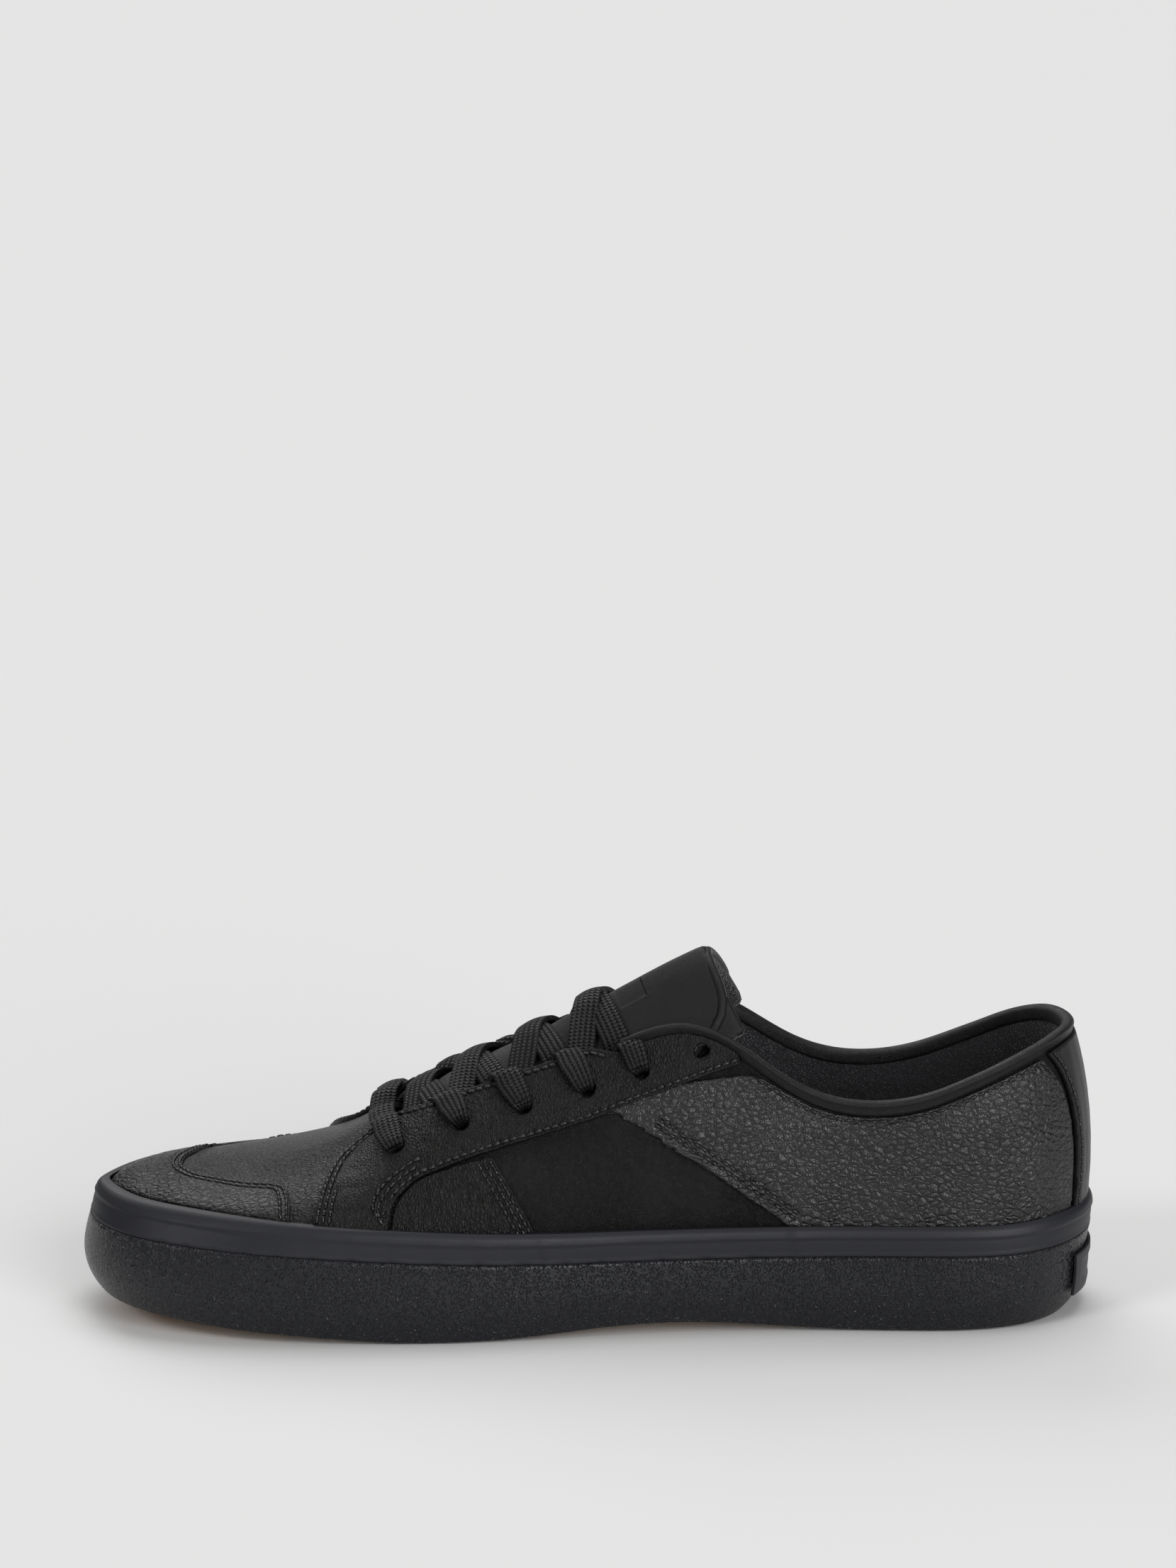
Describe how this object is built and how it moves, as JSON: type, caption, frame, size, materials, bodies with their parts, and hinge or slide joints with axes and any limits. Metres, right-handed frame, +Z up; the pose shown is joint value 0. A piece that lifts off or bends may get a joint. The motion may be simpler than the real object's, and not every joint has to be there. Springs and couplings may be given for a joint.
{
  "type": "skateboarding shoe",
  "caption": "Low right skateboarding shoe: hollow leather upper with overlays and flat laces on a flat, foxed rubber sole.",
  "frame": {"origin": "on the floor, at the middle of the outline's length and width", "axes": "+X towards the heel, +Y towards the outer side, +Z up from the sole"},
  "size_m": [0.2982, 0.1033, 0.1087],
  "materials": {
    "foxing_rubber": "satin, finely grained side wall",
    "outsole_rubber": "matt gum",
    "sock_cloth": "matt woven sock",
    "vamp_leather": "satin, fine grain",
    "overlay_leather": "satin, fine grain",
    "quarter_leather": "satin, pebbled grain",
    "smooth_leather": "satin, smooth",
    "lace_braid": "matt flat braid"
  },
  "bodies": {
    "root": {"foxed_midsole": "foxing_rubber", "foxing_strip": "foxing_rubber", "heel_label": "foxing_rubber", "outsole": "outsole_rubber", "insole": "sock_cloth", "upper": "vamp_leather", "toe_cap": "overlay_leather", "eyestay_inner": "overlay_leather", "eyestay_outer": "overlay_leather", "side_panel_inner": "overlay_leather", "side_panel_outer": "overlay_leather", "quarter_inner": "quarter_leather", "quarter_outer": "quarter_leather", "heel_strip": "smooth_leather", "collar_binding": "smooth_leather", "tongue": "smooth_leather", "lace_bar": "lace_braid", "lace_cross_1": "lace_braid", "lace_cross_2": "lace_braid", "lace_cross_3": "lace_braid", "lace_cross_4": "lace_braid"}
  },
  "joints": []
}
